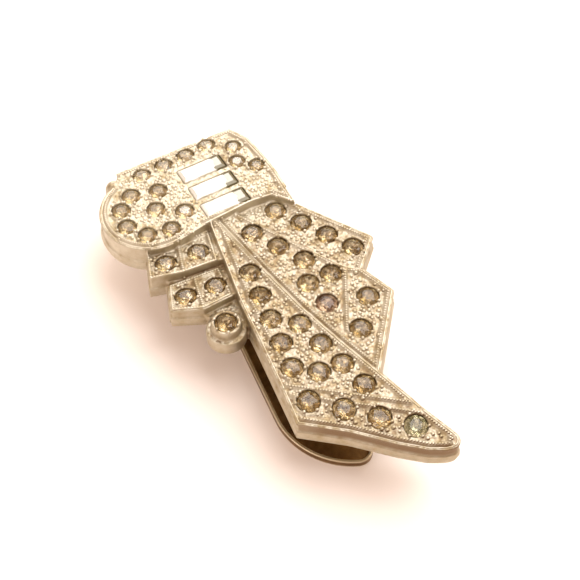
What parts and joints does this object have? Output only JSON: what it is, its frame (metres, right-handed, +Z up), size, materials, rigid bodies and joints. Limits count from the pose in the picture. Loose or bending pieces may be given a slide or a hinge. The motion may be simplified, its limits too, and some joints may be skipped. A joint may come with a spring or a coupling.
{
  "type": "dress clip",
  "caption": "Cast dress clip: stone-set fan pleats, stepped cells and a scrolled head with baguettes, on a hinged lever with teeth behind.",
  "frame": {"origin": "middle of the lever's flat underside, on which the clip rests on its back", "axes": "+Z up out of the stone-set front, +Y from the tail to the scrolled head, +X towards the outer pleats"},
  "size_m": [0.0266, 0.0466, 0.0088],
  "materials": {
    "cast_metal": "pale gold-silver plated cast pot metal, satin with beaded borders",
    "lever_metal": "stamped brass sheet, toned dark brown inside",
    "pin_metal": "drawn steel wire, riveted",
    "smoky_stone": "foil-backed smoky grey-olive rhinestone",
    "brown_stone": "foil-backed reddish-brown rhinestone",
    "pale_stone": "foil-backed pale greenish rhinestone",
    "clear_baguette": "clear step-cut glass, foil-backed"
  },
  "bodies": {
    "front": {"front": "cast_metal", "hinge_pin": "pin_metal", "baguette_1": "clear_baguette", "baguette_2": "clear_baguette", "baguette_3": "clear_baguette", "pleat_a_stone_1": "smoky_stone", "pleat_a_stone_2": "smoky_stone", "pleat_a_stone_3": "smoky_stone", "pleat_a_stone_4": "smoky_stone", "pleat_b_stone_1": "smoky_stone", "pleat_b_stone_2": "smoky_stone", "pleat_b_stone_3": "smoky_stone", "pleat_b_stone_4": "smoky_stone", "pleat_b_lower_stone_1": "smoky_stone", "pleat_b_lower_stone_2": "brown_stone", "pleat_b_outer_stone_1": "smoky_stone", "pleat_b_outer_stone_2": "smoky_stone", "pleat_c_stone_1": "smoky_stone", "pleat_c_stone_2": "smoky_stone", "pleat_c_stone_3": "smoky_stone", "pleat_c_stone_4": "smoky_stone", "pleat_c_stone_5": "smoky_stone", "pleat_c_inner_stone_1": "smoky_stone", "pleat_c_inner_stone_2": "smoky_stone", "pleat_c_inner_stone_3": "smoky_stone", "pleat_c_inner_stone_4": "smoky_stone", "pleat_c_middle_stone": "smoky_stone", "tail_stone_1": "smoky_stone", "tail_stone_2": "smoky_stone", "tail_stone_3": "smoky_stone", "tail_stone_4": "pale_stone", "step_1_stone_1": "smoky_stone", "step_1_stone_2": "smoky_stone", "step_2_stone_1": "smoky_stone", "step_2_stone_2": "smoky_stone", "head_top_stone_1": "smoky_stone", "head_top_stone_2": "smoky_stone", "head_top_stone_3": "smoky_stone", "head_top_stone_4": "smoky_stone", "head_side_stone_1": "smoky_stone", "head_side_stone_2": "smoky_stone", "head_edge_stone": "smoky_stone", "scroll_inner_stone_1": "smoky_stone", "scroll_inner_stone_2": "smoky_stone", "collet_stone": "smoky_stone", "scroll_stone_1": "smoky_stone", "scroll_stone_2": "smoky_stone", "scroll_stone_3": "smoky_stone", "scroll_stone_4": "smoky_stone", "scroll_stone_5": "smoky_stone", "scroll_stone_6": "smoky_stone"},
    "lever": {"lever": "lever_metal"}
  },
  "joints": [
    {"name": "lever_hinge", "type": "hinge", "parent": "front", "child": "lever", "pos_m": [0, 0.012, 0.0026], "axis": [1, 0, 0], "range_deg": [0, 80], "stiffness_Nm_per_rad": 0.001, "springref_deg": -57.3}
  ]
}
